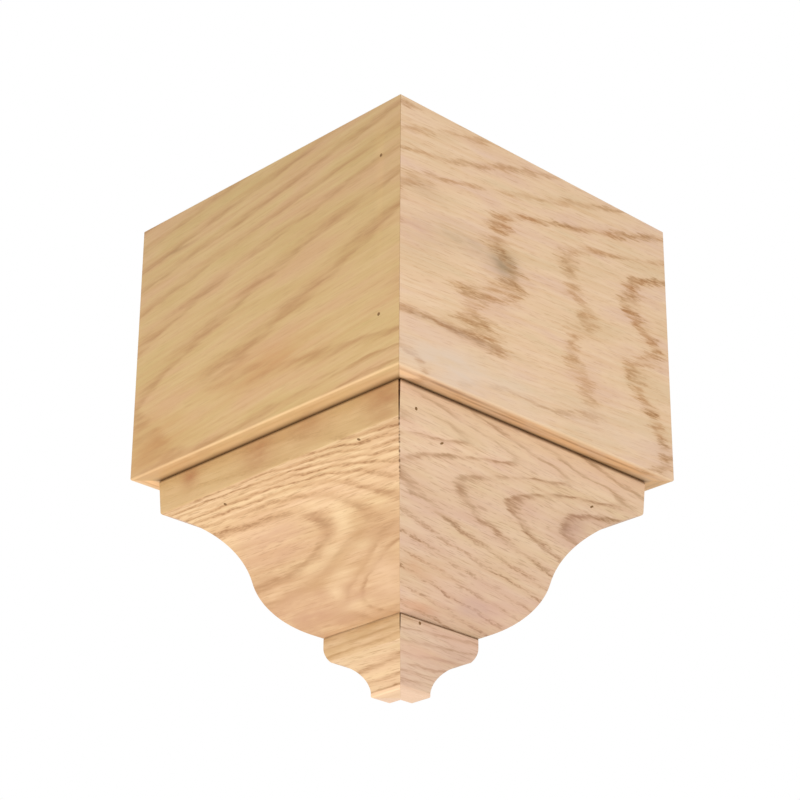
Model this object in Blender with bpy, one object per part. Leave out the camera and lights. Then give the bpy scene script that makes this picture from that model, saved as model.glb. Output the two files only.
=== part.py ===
"""Crown corner block of raw red oak, for an outside corner of a room.

Two lengths of crown moulding butt against it where two walls meet, so they need no
mitre. It is a small open box of mitred boards under the ceiling, then a ring of crown
moulding and a ring of small cove moulding, each one stepping in towards the corner.
One quarter of its plan is left out, and the corner of the walls goes there.

Frame: +Z is up and the ceiling is at z = 0. The corner edge of the two walls is the
Z axis. One wall runs along -X and the other along +Y, so the block shows its faces
to -Y, the left one, and to +X, the right one.
"""
import math

import bmesh
import bpy
from mathutils import Euler, Vector

# Sizes in metres, angles in degrees.
BLOCK_WIDTH = 0.146          # box, from outer face to opposite outer face
WALL_SETBACK = 0.0014        # from the middle of the plan back to the corner of the walls
GLUE_GAP = 0.0003            # between neighbouring pieces

BOARD_HEIGHT = 0.1076        # boards of the box
BOARD_THICKNESS = 0.019
BOARD_EASE = 0.0007          # rounding of the boards' lower outer edge

CROWN_REVEAL = 0.0078        # overhang of the box over the crown moulding
CROWN_DROP = 0.0627          # height of the crown moulding
CROWN_PROJECTION = 0.045     # how far it steps in from its top to its foot
CROWN_SEAT = 0.016           # width of its flat top and of its flat foot
CROWN_FILLET = 0.0138        # height of the plain band at its top
CROWN_LEAN = 0.0008          # how far that band leans in at its lower end
CROWN_EASE = 0.001           # rounding of the band's two edges
COVE_START = 17.0            # slope of the hollow where it leaves the band
OGEE_END = 19.3              # slope of the swell where it meets the foot
COVE_TO_OGEE = 1.245         # radius of the hollow over radius of the swell

LOWER_DROP = 0.0227          # height of the small moulding
NOSE_HEIGHT = 0.0093         # its rounded upper band
NOSE_RADIUS = 0.0088
NOSE_TURN = 38.7             # how far round the band's lower part turns
NOSE_STEP = 0.0007           # small quirk under the band
LIP_INSET = 0.0125           # from the band's face in to the lip at the bottom
LIP_HEIGHT = 0.002
LIP_EASE = 0.0008
COVE_SWEEP = 71.0            # arc of the small hollow

ARC_STEPS = 14
EASE_STEPS = 3

# Levels and distances that follow from the sizes. A distance is measured from the
# middle of the plan, square to a face.
BOX_FACE = BLOCK_WIDTH / 2
BOX_FOOT = -BOARD_HEIGHT
CROWN_TOP = BOX_FOOT - GLUE_GAP
CROWN_FOOT = CROWN_TOP - CROWN_DROP
CROWN_FACE = BOX_FACE - CROWN_REVEAL
FOOT_FACE = CROWN_FACE - CROWN_PROJECTION
LOWER_TOP = CROWN_FOOT - GLUE_GAP
LOWER_FOOT = LOWER_TOP - LOWER_DROP

OAK_TAN = (0.66, 0.46, 0.27)
OAK_PALE = (0.74, 0.55, 0.38)

# Each side of the block faces one way: its turn about Z from facing +X.
SIDES = {"right": 0.0, "return_right": 90.0, "return_left": 180.0, "left": 270.0}
# The returns end at a wall. This is the side of each on which the wall cuts it.
WALL_SIDE = {"return_right": 1.0, "return_left": -1.0}


def clear_scene():
    for item in list(bpy.data.objects):
        bpy.data.objects.remove(item, do_unlink=True)


def new_collection(name):
    collection = bpy.data.collections.new(name)
    bpy.context.scene.collection.children.link(collection)
    return collection


def oak(name, colour):
    material = bpy.data.materials.new(name)
    material.use_nodes = True
    shader = material.node_tree.nodes["Principled BSDF"]
    shader.inputs["Base Color"].default_value = (*colour, 1.0)
    shader.inputs["Roughness"].default_value = 0.62
    shader.inputs["Metallic"].default_value = 0.0
    return material


def arc(centre, start, sweep):
    """Points after start on the circle about centre, through a signed sweep."""
    spoke = Vector(start) - Vector(centre)
    points = []
    for step in range(1, ARC_STEPS + 1):
        turn = math.radians(sweep) * step / ARC_STEPS
        points.append(Vector(centre) + Vector((
            spoke.x * math.cos(turn) - spoke.y * math.sin(turn),
            spoke.x * math.sin(turn) + spoke.y * math.cos(turn))))
    return points


def arc_to(start, end, sweep):
    """Points after start on an arc that ends at end and turns through a signed sweep."""
    start = Vector(start)
    end = Vector(end)
    chord = end - start
    across = Vector((-chord.y, chord.x))
    centre = (start + end) / 2 + across / (2 * math.tan(math.radians(sweep) / 2))
    return arc(centre, start, sweep)


def eased(before, corner, after, reach):
    """A corner rounded off: its curve starts and ends a short reach from it."""
    corner = Vector(corner)
    first = corner + (Vector(before) - corner).normalized() * reach
    last = corner + (Vector(after) - corner).normalized() * reach
    points = []
    for step in range(EASE_STEPS + 1):
        t = step / EASE_STEPS
        points.append(first * (1 - t) ** 2 + corner * 2 * t * (1 - t) + last * t ** 2)
    return points


def s_curve(start, end, start_slope, end_slope, ratio):
    """A hollow that runs smoothly into a swell, from start down and in to end.

    The two arcs share a tangent where they meet. Their slopes at the ends and the ratio
    of their radii settle the rest: the smaller radius solves a quadratic.
    """
    start = Vector(start)
    end = Vector(end)
    first = math.radians(start_slope)
    last = math.radians(end_slope)
    to_hollow = Vector((math.sin(first), -math.cos(first)))
    to_swell = Vector((-math.sin(last), math.cos(last)))
    span = start - end
    spread = to_hollow * ratio - to_swell
    a = (1 + ratio) ** 2 - spread.length_squared
    b = -2 * span.dot(spread)
    radius = (-b + math.sqrt(b * b + 4 * a * span.length_squared)) / (2 * a)
    hollow = start + to_hollow * radius * ratio
    swell = end + to_swell * radius
    between = (swell - hollow).normalized()
    meeting = hollow + between * radius * ratio
    hollow_sweep = math.degrees((start - hollow).angle_signed(meeting - hollow))
    swell_sweep = math.degrees((meeting - swell).angle_signed(end - swell))
    points = arc(hollow, start, -hollow_sweep)
    points += arc(swell, meeting, -swell_sweep)
    return points


def board_outline():
    inner = BOX_FACE - BOARD_THICKNESS
    top = (BOX_FACE, 0.0)
    foot = (inner, BOX_FOOT)
    return ([top]
            + eased(top, (BOX_FACE, BOX_FOOT), foot, BOARD_EASE)
            + [foot, (inner, 0.0)])


def crown_outline():
    corner = Vector((CROWN_FACE - CROWN_LEAN, CROWN_TOP - CROWN_FILLET))
    top = Vector((CROWN_FACE, CROWN_TOP))
    foot = Vector((FOOT_FACE, CROWN_FOOT))
    curve = s_curve(corner, foot, COVE_START, OGEE_END, COVE_TO_OGEE)
    back_top = Vector((CROWN_FACE - CROWN_SEAT, CROWN_TOP))
    back_foot = Vector((FOOT_FACE - CROWN_SEAT, CROWN_FOOT))
    return (eased(back_top, top, corner, CROWN_EASE)
            + eased(top, corner, curve[0], CROWN_EASE)
            + curve
            + [back_foot, back_top])


def lower_outline():
    turn = math.radians(NOSE_TURN)
    top = Vector((FOOT_FACE, LOWER_TOP))
    nose_foot = LOWER_TOP - NOSE_HEIGHT
    nose_start = Vector((FOOT_FACE, nose_foot + NOSE_RADIUS * math.sin(turn)))
    nose = arc(nose_start - Vector((NOSE_RADIUS, 0.0)), nose_start, -NOSE_TURN)
    quirk = nose[-1] - Vector((NOSE_STEP, NOSE_STEP / 2))
    lip_top = Vector((FOOT_FACE - LIP_INSET, LOWER_FOOT + LIP_HEIGHT))
    lip_foot = Vector((lip_top.x, LOWER_FOOT))
    # The middle of the plan, and a little beyond so that the mitres meet there.
    back = -WALL_SETBACK
    return ([top, nose_start] + nose
            + [quirk] + arc_to(quirk, lip_top, COVE_SWEEP)
            + eased(lip_top, lip_foot, (back, LOWER_FOOT), LIP_EASE)
            + [Vector((back, LOWER_FOOT)), Vector((back, LOWER_TOP))])


def extruded(name, outline, half_length):
    """A flat outline drawn as a curve, stood up and pulled out to both sides."""
    curve = bpy.data.curves.new(name, "CURVE")
    curve.dimensions = "2D"
    curve.fill_mode = "BOTH"
    curve.extrude = half_length
    spline = curve.splines.new("POLY")
    spline.points.add(len(outline) - 1)
    for point, place in zip(spline.points, outline):
        point.co = (place[0], place[1], 0.0, 1.0)
    spline.use_cyclic_u = True
    item = bpy.data.objects.new(name + "_outline", curve)
    item.rotation_euler = Euler((math.radians(90.0), 0.0, 0.0))
    bpy.context.scene.collection.objects.link(item)
    bpy.context.view_layer.update()
    graph = bpy.context.evaluated_depsgraph_get()
    mesh = bpy.data.meshes.new_from_object(item.evaluated_get(graph))
    mesh.transform(item.matrix_world)
    bpy.data.objects.remove(item, do_unlink=True)
    bpy.data.curves.remove(curve)
    return mesh


def saw(work, place, outward):
    """Cut the work along a plane, drop what is beyond it and close the cut."""
    cut = bmesh.ops.bisect_plane(
        work, geom=work.verts[:] + work.edges[:] + work.faces[:], dist=1e-7,
        plane_co=place, plane_no=outward, clear_outer=True)
    rim = [item for item in cut["geom_cut"] if isinstance(item, bmesh.types.BMEdge)]
    bmesh.ops.triangle_fill(work, edges=rim, use_beauty=True, use_dissolve=False)


def strip(kind, side, outline, material, collection, block):
    """One mitred length of board or moulding, on one side of the block."""
    name = f"{kind}_{side}"
    mesh = extruded(name, outline, BLOCK_WIDTH)
    work = bmesh.new()
    work.from_mesh(mesh)
    bmesh.ops.remove_doubles(work, verts=work.verts[:], dist=1e-6)
    half_gap = Vector((GLUE_GAP / math.sqrt(2), 0.0, 0.0))
    saw(work, half_gap, Vector((-1.0, 1.0, 0.0)).normalized())
    saw(work, half_gap, Vector((-1.0, -1.0, 0.0)).normalized())
    if side in WALL_SIDE:
        towards_wall = Vector((0.0, WALL_SIDE[side], 0.0))
        saw(work, towards_wall * WALL_SETBACK, towards_wall)
    bmesh.ops.recalc_face_normals(work, faces=work.faces[:])
    work.to_mesh(mesh)
    work.free()
    mesh.name = name
    mesh.materials.append(material)
    mesh.shade_smooth()
    mesh.set_sharp_from_angle(angle=math.radians(25.0))
    item = bpy.data.objects.new(name, mesh)
    item.rotation_euler = Euler((0.0, 0.0, math.radians(SIDES[side])))
    item.parent = block
    collection.objects.link(item)
    return item


def main():
    clear_scene()
    collection = new_collection("crown_corner_block")
    block = bpy.data.objects.new("block", None)
    block.location = (WALL_SETBACK, -WALL_SETBACK, 0.0)
    collection.objects.link(block)
    outlines = {"board": board_outline(), "crown": crown_outline(), "lower": lower_outline()}
    for kind, outline in outlines.items():
        for side in SIDES:
            colour = OAK_TAN if side.endswith("left") else OAK_PALE
            material = oak(f"oak_{kind}_{side}", colour)
            strip(kind, side, outline, material, collection, block)


main()
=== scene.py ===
# %% [markdown]
# # A crown corner block in raw red oak
#
# This block hangs under the ceiling on the outside corner of a room. Two lengths of crown
# moulding butt against its sides, so nobody has to cut a mitre up there. It is a small box of
# mitred boards, with a ring of crown moulding under it and a ring of small cove moulding under
# that, and a quarter of its plan is left out for the corner of the walls.
#
# The lesson is mostly about wood. Every piece is a straight length of stock with a drawn
# outline, so the shapes are quick to make, and the likeness comes from the growth rings, the
# pores and the way raw oak takes the light.

# %% Load the solid model
import math

import bmesh
import bpy
from mathutils import Matrix, Vector


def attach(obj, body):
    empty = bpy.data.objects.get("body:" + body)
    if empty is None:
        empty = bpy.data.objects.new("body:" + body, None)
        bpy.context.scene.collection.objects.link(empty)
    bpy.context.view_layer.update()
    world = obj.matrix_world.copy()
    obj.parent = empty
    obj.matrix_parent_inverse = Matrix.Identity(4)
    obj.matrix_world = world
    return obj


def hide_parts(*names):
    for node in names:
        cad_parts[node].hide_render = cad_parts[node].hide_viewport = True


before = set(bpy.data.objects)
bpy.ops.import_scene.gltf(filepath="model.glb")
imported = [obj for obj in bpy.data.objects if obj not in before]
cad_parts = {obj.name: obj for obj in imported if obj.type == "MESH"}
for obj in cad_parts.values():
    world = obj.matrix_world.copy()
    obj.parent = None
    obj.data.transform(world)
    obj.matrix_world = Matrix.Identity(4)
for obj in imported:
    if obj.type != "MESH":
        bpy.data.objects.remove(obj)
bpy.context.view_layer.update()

# %% [markdown]
# ## Where the camera stands
#
# The block is seen from below and from straight in front of its mitred corner, through a long
# lens, so its upright edges stay nearly parallel. A camera needs a place and three directions:
# to the right, up, and against its line of sight. They are the columns of its rotation.

# %% The camera
def placed(name, data):
    """A new object in the scene."""
    item = bpy.data.objects.new(name, data)
    bpy.context.scene.collection.objects.link(item)
    return item


CAMERA_PLACE = (0.61635, -0.60163, -0.47107)
TO_RIGHT = Vector((0.6997, 0.7144, 0.0058))
LINE_OF_SIGHT = Vector((-0.6502, 0.6333, 0.4197))

camera_data = bpy.data.cameras.new("camera")
camera_data.sensor_width = 36.0
camera_data.lens = 110.55
camera = placed("camera", camera_data)
back = -LINE_OF_SIGHT.normalized()
upward = back.cross(TO_RIGHT).normalized()
rightward = upward.cross(back)
turn = Matrix((rightward, upward, back)).transposed()
camera.matrix_world = Matrix.Translation(CAMERA_PLACE) @ turn.to_4x4()
bpy.context.scene.camera = camera
print("camera looks up by", round(math.degrees(math.asin(-back.z)), 1), "degrees")

# %% [markdown]
# ## Short ways to wire a node tree
#
# A shader for wood takes a few hundred nodes, and clicking them together by hand would hide
# the idea. These helpers make one node a line, so the recipe for oak reads like arithmetic.

# %% Helpers for nodes
FLOAT, COLOUR = "NodeSocketFloat", "NodeSocketColor"


def add_node(tree, kind, feeds=(), **settings):
    """A new node. Feeds are numbers or sockets, by socket name or position."""
    new = tree.nodes.new("ShaderNode" + kind)
    for name, value in settings.items():
        setattr(new, name, value)
    for socket, value in dict(feeds).items():
        if isinstance(value, bpy.types.NodeSocket):
            tree.links.new(value, new.inputs[socket])
        else:
            new.inputs[socket].default_value = value
    return new


def reckon(tree, operation, *values, clamp=False):
    """One step of arithmetic."""
    return add_node(tree, "Math", enumerate(values),
                    operation=operation, use_clamp=clamp).outputs[0]


def scaled(tree, *values, clamp=False):
    """One value scaled by another."""
    return reckon(tree, "MULTIPLY", *values, clamp=clamp)


def between(tree, value, low, high, to_low=0.0, to_high=1.0, soft=False):
    """Stretch the part of a value between low and high over a new range."""
    return add_node(tree, "MapRange", {
        "Value": value, "From Min": low, "From Max": high,
        "To Min": to_low, "To Max": to_high},
        interpolation_type="SMOOTHSTEP" if soft else "LINEAR").outputs[0]


def blended(tree, share, first, second):
    """One colour laid over another, by a share from 0 to 1."""
    return add_node(tree, "Mix", {0: share, 6: first, 7: second},
                    data_type="RGBA").outputs[2]


def new_material(name):
    """A new material, its node tree and its shader."""
    material = bpy.data.materials.new(name)
    material.use_nodes = True
    return material, material.node_tree, material.node_tree.nodes["Principled BSDF"]


def srgb(red, green, blue):
    """A colour as a screen shows it, 0 to 255, turned into amounts of light."""
    parts = [value / 255 for value in (red, green, blue)]
    return tuple(part / 12.92 if part < 0.04 else ((part + 0.055) / 1.055) ** 2.4
                 for part in parts) + (1.0,)


def new_group(name, numbers, colours, gives):
    """A node group with named sockets: the numbers and colours it takes, and what it gives."""
    group = bpy.data.node_groups.new(name, "ShaderNodeTree")
    for label in (*numbers, *colours):
        group.interface.new_socket(label, in_out="INPUT",
                                   socket_type=COLOUR if label in colours else FLOAT)
    for label, kind in gives.items():
        group.interface.new_socket(label, in_out="OUTPUT", socket_type=kind)
    return (group, group.nodes.new("NodeGroupInput").outputs,
            group.nodes.new("NodeGroupOutput").inputs)


print("middle grey in light:", round(srgb(128, 128, 128)[0], 3))

# %% [markdown]
# ## A white surround
#
# A white surround fills the shade from all sides. The Light Path node makes it a little weaker
# for the light on the block than for the camera, so the background is plain white and the wood
# still has form.

# %% The surround
bpy.context.scene.view_settings.view_transform = "Standard"
FILL = 0.76

world = bpy.data.worlds.new("white_surround")
world.use_nodes = True
air = world.node_tree
surround = air.nodes["Background"]
surround.inputs["Color"].default_value = (1.0, 1.0, 1.0, 1.0)
seen = add_node(air, "LightPath").outputs["Is Camera Ray"]
air.links.new(reckon(air, "MULTIPLY_ADD", seen, 1.0 - FILL, FILL), surround.inputs["Strength"])
bpy.context.scene.world = world
print("surround:", FILL, "on the block, 1.0 for the camera")

# %% [markdown]
# ## Two soft lamps
#
# In the picture the left faces that look down are lighter than the upright ones, so the main
# light comes from low on the left. A weaker lamp lifts the right side. Both are broad, because a
# broad lamp gives shade with soft edges.

# %% The lamps
AIM = Vector((0.0, 0.0, -0.10))


def soft_lamp(name, direction, distance, size, power, colour):
    """A square lamp that faces the block from a direction."""
    lamp = bpy.data.lights.new(name, "AREA")
    lamp.size = size
    lamp.energy = power
    lamp.color = colour
    item = placed(name, lamp)
    away = Vector(direction).normalized()
    item.location = AIM + away * distance
    item.rotation_euler = away.to_track_quat("Z", "Y").to_euler()


soft_lamp("lamp_low_left", (-0.32, -0.64, -0.68), distance=0.80, size=0.45, power=3.0,
          colour=(1.0, 0.97, 0.93))
soft_lamp("lamp_right", (0.85, -0.30, -0.25), distance=0.90, size=0.60, power=2.4,
          colour=(1.0, 0.98, 0.96))

# %% [markdown]
# ## A floor far below
#
# The floor lies well below the picture and only throws light back up at the block. It is pale
# painted board, so the light that it throws is soft and shows no pattern.

# %% The floor
FLOOR_LEVEL = -1.50

floor_mesh = bpy.data.meshes.new("floor")
floor_work = bmesh.new()
bmesh.ops.create_grid(floor_work, x_segments=8, y_segments=8, size=5.0)
bmesh.ops.translate(floor_work, verts=floor_work.verts[:], vec=(0.0, 0.0, FLOOR_LEVEL))
floor_work.to_mesh(floor_mesh)
floor_work.free()
floor = placed("floor", floor_mesh)

floor_paint, paint_tree, paint_shader = new_material("pale_floor")
mottle = add_node(paint_tree, "TexNoise", {
    "Vector": add_node(paint_tree, "TexCoord").outputs["Object"], "Scale": 6.0})
paint = blended(paint_tree, mottle.outputs[0], srgb(234, 233, 230), srgb(240, 239, 237))
paint_tree.links.new(paint, paint_shader.inputs["Base Color"])
paint_shader.inputs["Roughness"].default_value = 0.7
floor_mesh.materials.append(floor_paint)
print("floor at", FLOOR_LEVEL, "m")

# %% [markdown]
# ## Drawing an outline
#
# A moulding is one outline pulled along a line, so the outline is where its looks are made.
# Each is drawn with its distance from the middle of the plan first and its height second.
# Arcs give the hollow and the swell, and every edge that a hand would have sanded gets a
# small rounding.

# %% Helpers for an outline
MM = 0.001
BLOCK_WIDTH = 146.0 * MM
WALL_SETBACK = 1.4 * MM
GLUE_LINE = 0.04 * MM
BOX_FACE = BLOCK_WIDTH / 2


def arc(centre, start, sweep, steps):
    """Points after start on the circle about centre, through a signed sweep in degrees."""
    spoke = Vector(start) - Vector(centre)
    points = []
    for step in range(1, steps + 1):
        turn = math.radians(sweep) * step / steps
        points.append(Vector(centre) + Vector((
            spoke.x * math.cos(turn) - spoke.y * math.sin(turn),
            spoke.x * math.sin(turn) + spoke.y * math.cos(turn))))
    return points


def arc_to(start, end, sweep, steps):
    """Points after start on an arc that ends at end and turns through a signed sweep."""
    start, end = Vector(start), Vector(end)
    chord = end - start
    across = Vector((-chord.y, chord.x))
    centre = (start + end) / 2 + across / (2 * math.tan(math.radians(sweep) / 2))
    return arc(centre, start, sweep, steps)


def eased(before, corner, after, reach, steps=4):
    """A corner sanded round, from a short reach before it to a short reach after it."""
    corner = Vector(corner)
    first = corner + (Vector(before) - corner).normalized() * reach
    last = corner + (Vector(after) - corner).normalized() * reach
    return [first * (1 - t) ** 2 + corner * 2 * t * (1 - t) + last * t ** 2
            for t in (step / steps for step in range(steps + 1))]


print("the box's face stands", BOX_FACE, "m from the middle")

# %% [markdown]
# ## The board
#
# A board of the box is a plain plank on edge. Only its lower outer edge was sanded enough to
# catch the light, so that one gets the largest rounding.

# %% The board's outline
BOARD_HEIGHT = 107.6 * MM
BOARD_THICKNESS = 19.0 * MM
BOARD_EASE = 0.3 * MM
BOARD_FOOT_EASE = 0.7 * MM


def board_outline():
    """Round the board, from the top of its face."""
    top = (BOX_FACE, 0.0)
    foot = (BOX_FACE, -BOARD_HEIGHT)
    inner_foot = (BOX_FACE - BOARD_THICKNESS, -BOARD_HEIGHT)
    inner_top = (BOX_FACE - BOARD_THICKNESS, 0.0)
    return (eased(inner_top, top, foot, BOARD_EASE, 2)
            + eased(top, foot, inner_foot, BOARD_FOOT_EASE)
            + eased(foot, inner_foot, inner_top, BOARD_EASE, 2)
            + eased(inner_foot, inner_top, top, BOARD_EASE, 2))


print("board outline:", len(board_outline()), "points")

# %% [markdown]
# ## The crown moulding
#
# Under the box comes a flat band, the fillet, and then a hollow that runs into a swell without
# a break. The two arcs share a tangent where they meet. Only their slopes at the ends and the
# ratio of their radii are chosen, and the radii follow from the space between.

# %% The crown moulding's outline
CROWN_DROP = 63.0 * MM
CROWN_REVEAL = 7.8 * MM
CROWN_PROJECTION = 45.0 * MM
CROWN_SEAT = 16.0 * MM
CROWN_TOP = -BOARD_HEIGHT - GLUE_LINE
CROWN_FOOT = -BOARD_HEIGHT - CROWN_DROP
CROWN_FACE = BOX_FACE - CROWN_REVEAL
FOOT_FACE = CROWN_FACE - CROWN_PROJECTION
FILLET_HEIGHT = 13.8 * MM
FILLET_LEAN = 0.8 * MM
CROWN_TOP_EASE = 0.9 * MM
FILLET_EASE = 0.9 * MM
CROWN_FOOT_EASE = 0.5 * MM
HOLLOW_START = 17.0
SWELL_END = 19.3
HOLLOW_TO_SWELL = 1.245
CURVE_STEPS = 22


def s_curve(start, end, start_slope, end_slope, ratio, steps):
    """A hollow that runs smoothly into a swell, from start down and in to end."""
    start, end = Vector(start), Vector(end)
    first, last = math.radians(start_slope), math.radians(end_slope)
    to_hollow = Vector((math.sin(first), -math.cos(first)))
    to_swell = Vector((-math.sin(last), math.cos(last)))
    span = start - end
    spread = to_hollow * ratio - to_swell
    a = (1 + ratio) ** 2 - spread.length_squared
    b = -2 * span.dot(spread)
    radius = (-b + math.sqrt(b * b + 4 * a * span.length_squared)) / (2 * a)
    hollow = start + to_hollow * radius * ratio
    swell = end + to_swell * radius
    meeting = hollow + (swell - hollow).normalized() * radius * ratio
    hollow_sweep = math.degrees((start - hollow).angle_signed(meeting - hollow))
    swell_sweep = math.degrees((meeting - swell).angle_signed(end - swell))
    return arc(hollow, start, -hollow_sweep, steps) + arc(swell, meeting, -swell_sweep, steps)


def crown_outline():
    """Round the crown moulding, from the top of its fillet."""
    top = Vector((CROWN_FACE, CROWN_TOP))
    corner = Vector((CROWN_FACE - FILLET_LEAN, CROWN_TOP - FILLET_HEIGHT))
    foot = Vector((FOOT_FACE, CROWN_FOOT))
    curve = s_curve(corner, foot, HOLLOW_START, SWELL_END, HOLLOW_TO_SWELL, CURVE_STEPS)
    back_foot = Vector((FOOT_FACE - CROWN_SEAT, CROWN_FOOT))
    back_top = Vector((CROWN_FACE - CROWN_SEAT, CROWN_TOP))
    return (eased(back_top, top, corner, CROWN_TOP_EASE)
            + eased(top, corner, curve[0], FILLET_EASE)
            + curve[:-1]
            + eased(curve[-2], foot, back_foot, CROWN_FOOT_EASE, 2)
            + [back_foot, back_top])


print("crown outline:", len(crown_outline()), "points")

# %% [markdown]
# ## The small moulding
#
# The block ends in a moulding with a rounded nose, a tiny quirk under it, a hollow and a lip.
# It reaches in almost to the middle of the plan, so the foot of the block looks solid.

# %% The small moulding's outline
LOWER_TOP = CROWN_FOOT - GLUE_LINE
LOWER_FOOT = -193.6 * MM
LOWER_TOP_EASE = 0.35 * MM
NOSE_HEIGHT = 9.3 * MM
NOSE_RADIUS = 8.8 * MM
NOSE_TURN = 38.7
NOSE_STEPS = 8
QUIRK_IN, QUIRK_DOWN = 0.7 * MM, 0.35 * MM
LIP_INSET = 12.5 * MM
LIP_HEIGHT = 2.0 * MM
LIP_EASE = 0.8 * MM
COVE_SWEEP = 71.0
COVE_STEPS = 14
LOWER_BACK = 0.1 * MM


def lower_outline():
    """Round the small moulding, from the top of its nose."""
    turn = math.radians(NOSE_TURN)
    top = Vector((FOOT_FACE, LOWER_TOP))
    nose_start = Vector((FOOT_FACE, LOWER_TOP - NOSE_HEIGHT + NOSE_RADIUS * math.sin(turn)))
    nose = arc(nose_start - Vector((NOSE_RADIUS, 0.0)), nose_start, -NOSE_TURN, NOSE_STEPS)
    quirk = nose[-1] - Vector((QUIRK_IN, QUIRK_DOWN))
    lip_top = Vector((FOOT_FACE - LIP_INSET, LOWER_FOOT + LIP_HEIGHT))
    lip_foot = Vector((lip_top.x, LOWER_FOOT))
    back_foot = Vector((LOWER_BACK, LOWER_FOOT))
    back_top = Vector((LOWER_BACK, LOWER_TOP))
    return (eased(back_top, top, nose_start, LOWER_TOP_EASE, 2) + [nose_start] + nose
            + [quirk] + arc_to(quirk, lip_top, COVE_SWEEP, COVE_STEPS)
            + eased(lip_top, lip_foot, back_foot, LIP_EASE)
            + [Vector((WALL_SETBACK, LOWER_FOOT)), back_foot,
               back_top, Vector((WALL_SETBACK, LOWER_TOP))])


print("small moulding outline:", len(lower_outline()), "points")

# %% [markdown]
# ## From outline to mitred length
#
# The real strips come off a mitre saw, with both ends cut at 45 degrees. Pulling the outline
# along and ending each of its lines on the mitre gives the same shape, and control over how
# tightly the mitre closes. Each strip also gets a flat map for its grain: how far along the run,
# and how far down round the outline.

# %% Where a strip ends
SIDES = {"right": 0.0, "return_right": 90.0, "return_left": 180.0, "left": 270.0}
WALL_SIDE = {"return_right": 1.0, "return_left": -1.0}
NEAR_END = {"left": 1.0, "right": -1.0}
CLOSED = 0.008 * MM


def run_end(side, sign, distance, gap):
    """Where a line of the outline ends along the run: at the mitre or at the wall."""
    reach = distance - gap * math.sqrt(2)
    if WALL_SIDE.get(side) == sign:
        reach = min(reach, WALL_SETBACK)
    return sign * reach


print("the right board ends at", run_end("right", 1.0, BOX_FACE, CLOSED), "m")

# %% Pull an outline along its run
STATIONS = 20


def pulled(work, side, outline, gap):
    """For each point of the outline, a row of points along the run."""
    rows = []
    for point in outline:
        start, end = (run_end(side, sign, point.x, gap(point, sign)) for sign in (-1.0, 1.0))
        rows.append([work.verts.new((point.x, start + (end - start) * step / STATIONS, point.y))
                     for step in range(STATIONS + 1)])
    return rows


def skinned(work, layout, outline, start_down, rows):
    """The long faces between the rows, each with its place on the flat map."""
    down = [start_down]
    for here, there in zip(outline, outline[1:] + outline[:1]):
        down.append(down[-1] + (there - here).length)
    for index, upper in enumerate(rows):
        lower = rows[(index + 1) % len(rows)]
        for step in range(STATIONS):
            face = work.faces.new((upper[step], lower[step], lower[step + 1], upper[step + 1]))
            face.smooth = True
            for loop, level in zip(face.loops, (0, 1, 1, 0)):
                loop[layout].uv = (loop.vert.co.y, down[index + level])


print("rows along a strip:", STATIONS + 1, "points each")

# %% [markdown]
# ## Closing the ends
#
# Each end is one flat cut. Where a mitre gapes, only its front edge stands back: a narrow rim
# leads from there to the flat middle of the cut, which touches its neighbour.

# %% Close an end
END_RIM = 1.3 * MM


def saw_cut(work, side, sign, outline, edge, gap):
    """The flat cut at one end of the run, and its rim where the mitre gapes."""
    turn = math.copysign(1.0, sum(here.cross(there) for here, there in
                                  zip(outline, outline[1:] + outline[:1])))
    inner = []
    for index, point in enumerate(outline):
        if gap(point, sign) <= CLOSED:
            inner.append(edge[index])
            continue
        ahead = outline[(index + 1) % len(outline)] - outline[index - 1]
        inward = point + Vector((-ahead.y, ahead.x)).normalized() * turn * END_RIM
        inner.append(work.verts.new((inward.x, run_end(side, sign, inward.x, CLOSED), inward.y)))
    for index in range(len(outline)):
        after = (index + 1) % len(outline)
        corners = list(dict.fromkeys((edge[index], edge[after], inner[after], inner[index])))
        if len(corners) > 2:
            work.faces.new(corners).material_index = 1
    work.faces.new(inner).material_index = 1


print("rim of a gaping mitre:", END_RIM, "m")

# %% [markdown]
# ## One whole strip
#
# A strip is made lying along its own axis and then turned into its place about the middle of
# the plan. Edges sharper than the sweep of a moulding stay crisp, and the rest is smooth.

# %% Make one strip
SHARP = math.radians(30.0)


def strip(kind, side, outline, start_down, gap_at, materials):
    """One mitred length of stock. gap_at(point) is half the gap of the near mitre there."""
    def gap(point, sign):
        """Half the gap at one end of the run."""
        return gap_at(point) if NEAR_END.get(side) == sign else CLOSED

    work = bmesh.new()
    layout = work.loops.layers.uv.new("face")
    rows = pulled(work, side, outline, gap)
    skinned(work, layout, outline, start_down, rows)
    for step, sign in ((0, -1.0), (STATIONS, 1.0)):
        saw_cut(work, side, sign, outline, [row[step] for row in rows], gap)
    bmesh.ops.recalc_face_normals(work, faces=work.faces[:])
    mesh = bpy.data.meshes.new(f"oak_{kind}_{side}")
    work.to_mesh(mesh)
    work.free()
    mesh.set_sharp_from_angle(angle=SHARP)
    for material in materials:
        mesh.materials.append(material)
    item = placed(f"oak_{kind}_{side}", mesh)
    item.location = (WALL_SETBACK, -WALL_SETBACK, 0.0)
    item.rotation_euler = (0.0, 0.0, math.radians(SIDES[side]))
    return item


print("a strip turns about", (WALL_SETBACK, -WALL_SETBACK))

# %% [markdown]
# ## A bell round one place
#
# Knots, bends in the trunk and stains all sit round a place and fade away from it. A bell
# curve in two directions does that for each of them, so it is made once, as a group.

# %% A bell round one place of a face
BELL_TAKES = ("Along", "Down", "Centre Along", "Centre Down", "Length", "Height")


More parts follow.
